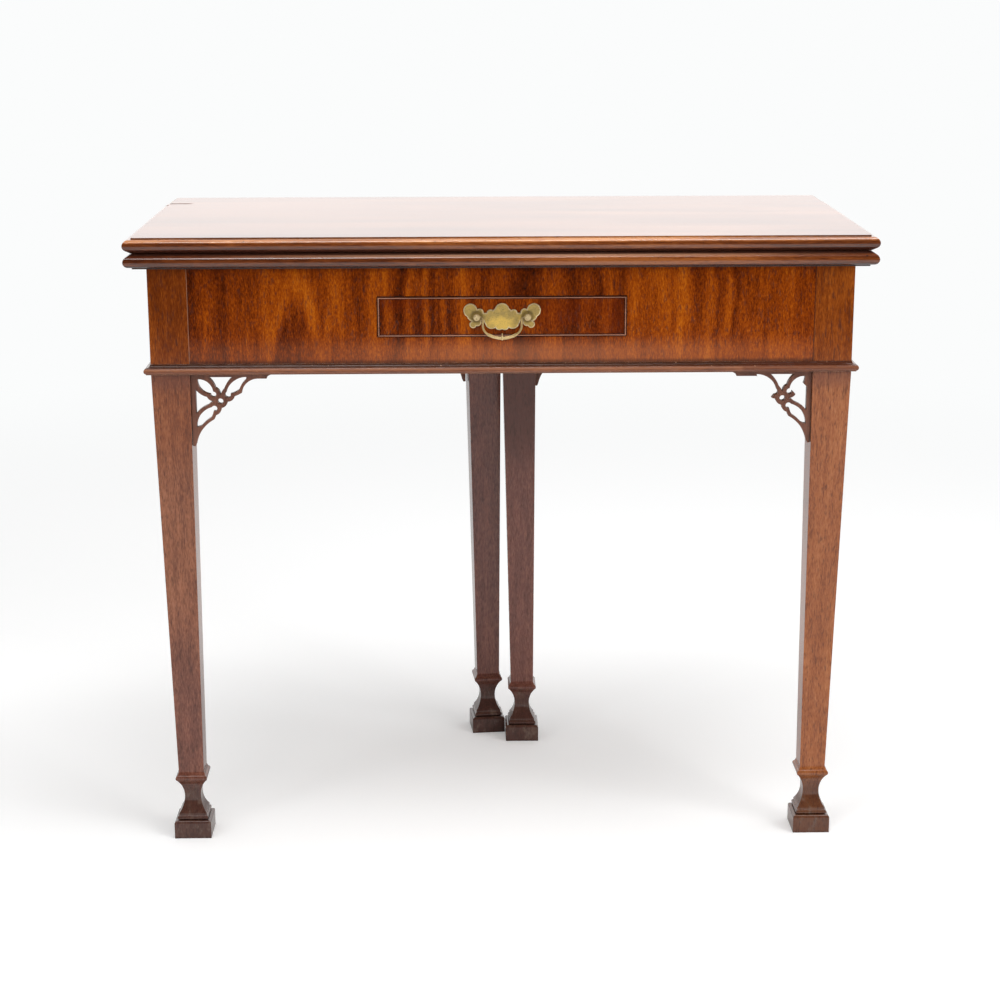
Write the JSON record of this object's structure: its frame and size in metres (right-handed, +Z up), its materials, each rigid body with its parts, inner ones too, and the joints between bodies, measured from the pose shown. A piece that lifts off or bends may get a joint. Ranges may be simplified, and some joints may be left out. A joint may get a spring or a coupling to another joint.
{
  "type": "fold-over tea table",
  "caption": "Fold-over tea table: a hinged double top opens onto rear legs on swinging gates; a frieze drawer with a brass handle, pierced corner brackets and block feet.",
  "frame": {"origin": "on the floor under the middle of the closed table's bounding box", "axes": "+X to the right of the person at the drawer, along the table's width, -Y out of the drawer's front, +Z up"},
  "size_m": [0.847, 0.4201, 0.73],
  "materials": {
    "top_mahogany": "polished",
    "frieze_mahogany": "polished",
    "leg_mahogany": "polished",
    "trim_mahogany": "polished",
    "pine": "bare",
    "brass": "aged",
    "iron": "dull"
  },
  "bodies": {
    "frame": {"fixed_leaf": "top_mahogany", "front_rail": "frieze_mahogany", "side_rail_left": "frieze_mahogany", "side_rail_right": "frieze_mahogany", "front_leg_left": "leg_mahogany", "front_leg_right": "leg_mahogany", "front_moulding": "trim_mahogany", "side_moulding_left": "trim_mahogany", "side_moulding_right": "trim_mahogany", "bracket_front_left": "trim_mahogany", "bracket_front_right": "trim_mahogany", "bracket_side_left": "trim_mahogany", "bracket_side_right": "trim_mahogany", "inner_rail": "pine", "hinge_block_left": "pine", "hinge_block_right": "pine", "runner_left": "pine", "runner_right": "pine", "guide_left": "pine", "guide_right": "pine", "kicker_left": "pine", "kicker_right": "pine", "glue_blocks": "pine", "strap_fixed_left": "brass", "strap_fixed_right": "brass", "leaf_pin_left": "brass", "leaf_pin_right": "brass", "strap_screws_fixed": "brass", "gate_pin_left": "iron", "gate_pin_right": "iron", "top_screws": "iron"},
    "folding_leaf": {"folding_leaf": "top_mahogany", "strap_folding_left": "brass", "strap_folding_right": "brass", "strap_screws_folding": "brass"},
    "left_gate": {"fly_rail_left": "leg_mahogany", "gate_leg_left": "leg_mahogany", "bracket_gate_left": "trim_mahogany"},
    "right_gate": {"fly_rail_right": "leg_mahogany", "gate_leg_right": "leg_mahogany", "bracket_gate_right": "trim_mahogany"},
    "drawer": {"drawer_front": "frieze_mahogany", "drawer_beads": "trim_mahogany", "drawer_side_left": "pine", "drawer_side_right": "pine", "drawer_back": "pine", "drawer_bottom": "pine", "handle_plate": "brass", "handle_posts": "brass", "handle_nuts": "brass"},
    "bail": {"bail": "brass"}
  },
  "joints": [
    {"name": "leaf_hinge", "type": "hinge", "parent": "frame", "child": "folding_leaf", "pos_m": [0, 0.2003, 0.71245], "axis": [-1, 0, 0], "range_deg": [0, 180]},
    {"name": "left_gate_hinge", "type": "hinge", "parent": "frame", "child": "left_gate", "pos_m": [-0.34, 0.16265, 0.5729], "axis": [0, 0, 1], "range_deg": [-5.8, 84.2]},
    {"name": "right_gate_hinge", "type": "hinge", "parent": "frame", "child": "right_gate", "pos_m": [0.35, 0.16265, 0.5729], "axis": [0, 0, -1], "range_deg": [0, 90]},
    {"name": "drawer_slide", "type": "slide", "parent": "frame", "child": "drawer", "axis": [0, -1, 0], "range_m": [0, 0.2]},
    {"name": "bail_hinge", "type": "hinge", "parent": "drawer", "child": "bail", "pos_m": [0, -0.19405, 0.6373], "axis": [-1, 0, 0], "range_deg": [-8, 170]}
  ]
}
